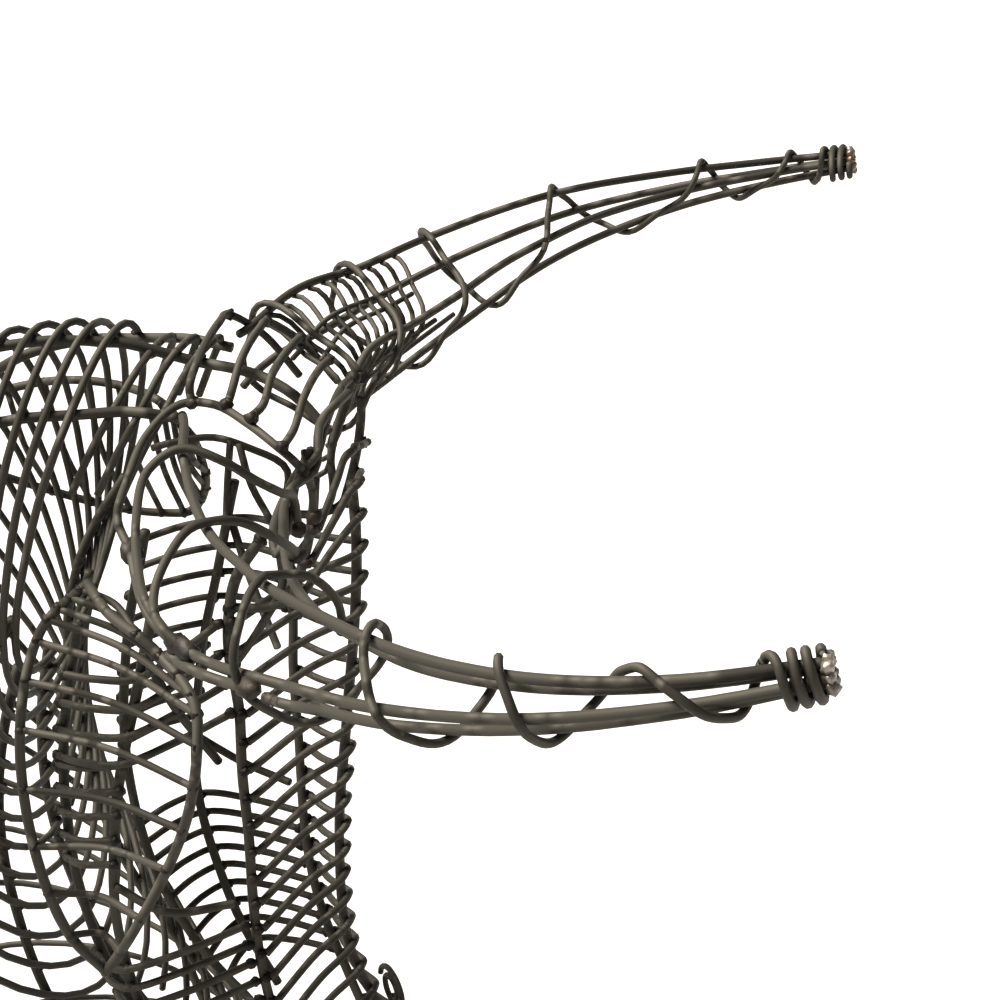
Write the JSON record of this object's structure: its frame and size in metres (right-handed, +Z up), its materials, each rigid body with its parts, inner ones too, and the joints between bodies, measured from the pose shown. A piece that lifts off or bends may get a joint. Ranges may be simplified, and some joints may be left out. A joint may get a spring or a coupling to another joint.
{
  "type": "wire animal sculpture",
  "caption": "Bull's head in bent and welded iron wire: a bust with long coiled horns, open face, ears and a wound neck that stands on a flat foot hoop.",
  "frame": {"origin": "middle of the bounding box, on the underside of the foot hoop", "axes": "+Z up, the face looks towards -Y, the bull's right horn reaches to -X and the left to +X"},
  "size_m": [0.5466, 0.4876, 0.5195],
  "materials": {
    "iron_wire": "dark brown-black oxidised iron wire with a dull satin sheen, lumpy welds and faint rust"
  },
  "bodies": {
    "root": {"right_horn_top_rod": "iron_wire", "right_horn_outer_rod": "iron_wire", "right_horn_bottom_rod": "iron_wire", "right_horn_inner_rod": "iron_wire", "right_horn_wrap": "iron_wire", "left_horn_top_rod": "iron_wire", "left_horn_outer_rod": "iron_wire", "left_horn_bottom_rod": "iron_wire", "left_horn_inner_rod": "iron_wire", "left_horn_wrap": "iron_wire", "ridge_bar": "iron_wire", "right_nose_bar": "iron_wire", "left_nose_bar": "iron_wire", "nose_wire_01": "iron_wire", "nose_wire_02": "iron_wire", "nose_wire_03": "iron_wire", "nose_wire_04": "iron_wire", "nose_wire_05": "iron_wire", "nose_wire_06": "iron_wire", "nose_wire_07": "iron_wire", "nose_wire_08": "iron_wire", "nose_wire_09": "iron_wire", "nose_wire_10": "iron_wire", "nose_wire_11": "iron_wire", "nose_wire_12": "iron_wire", "nose_wire_13": "iron_wire", "nose_wire_14": "iron_wire", "nose_wire_15": "iron_wire", "nose_wire_16": "iron_wire", "nose_wire_17": "iron_wire", "nose_wire_18": "iron_wire", "nose_wire_19": "iron_wire", "nose_wire_20": "iron_wire", "nose_wire_21": "iron_wire", "nose_wire_22": "iron_wire", "nose_wire_23": "iron_wire", "right_cheek": "iron_wire", "left_cheek": "iron_wire", "lip_hoop": "iron_wire", "right_nostril_coil": "iron_wire", "left_nostril_coil": "iron_wire", "right_ear": "iron_wire", "left_ear": "iron_wire", "poll_wire_1": "iron_wire", "poll_wire_2": "iron_wire", "poll_wire_3": "iron_wire", "poll_wire_4": "iron_wire", "poll_wire_5": "iron_wire", "upper_neck_wrap": "iron_wire", "middle_neck_wrap": "iron_wire", "lower_neck_wrap": "iron_wire", "right_upper_neck_bar": "iron_wire", "left_upper_neck_bar": "iron_wire", "right_side_neck_bar": "iron_wire", "left_side_neck_bar": "iron_wire", "right_lower_neck_bar": "iron_wire", "left_lower_neck_bar": "iron_wire", "throat_bar": "iron_wire", "crest_bar": "iron_wire", "foot_hoop": "iron_wire"}
  },
  "joints": []
}
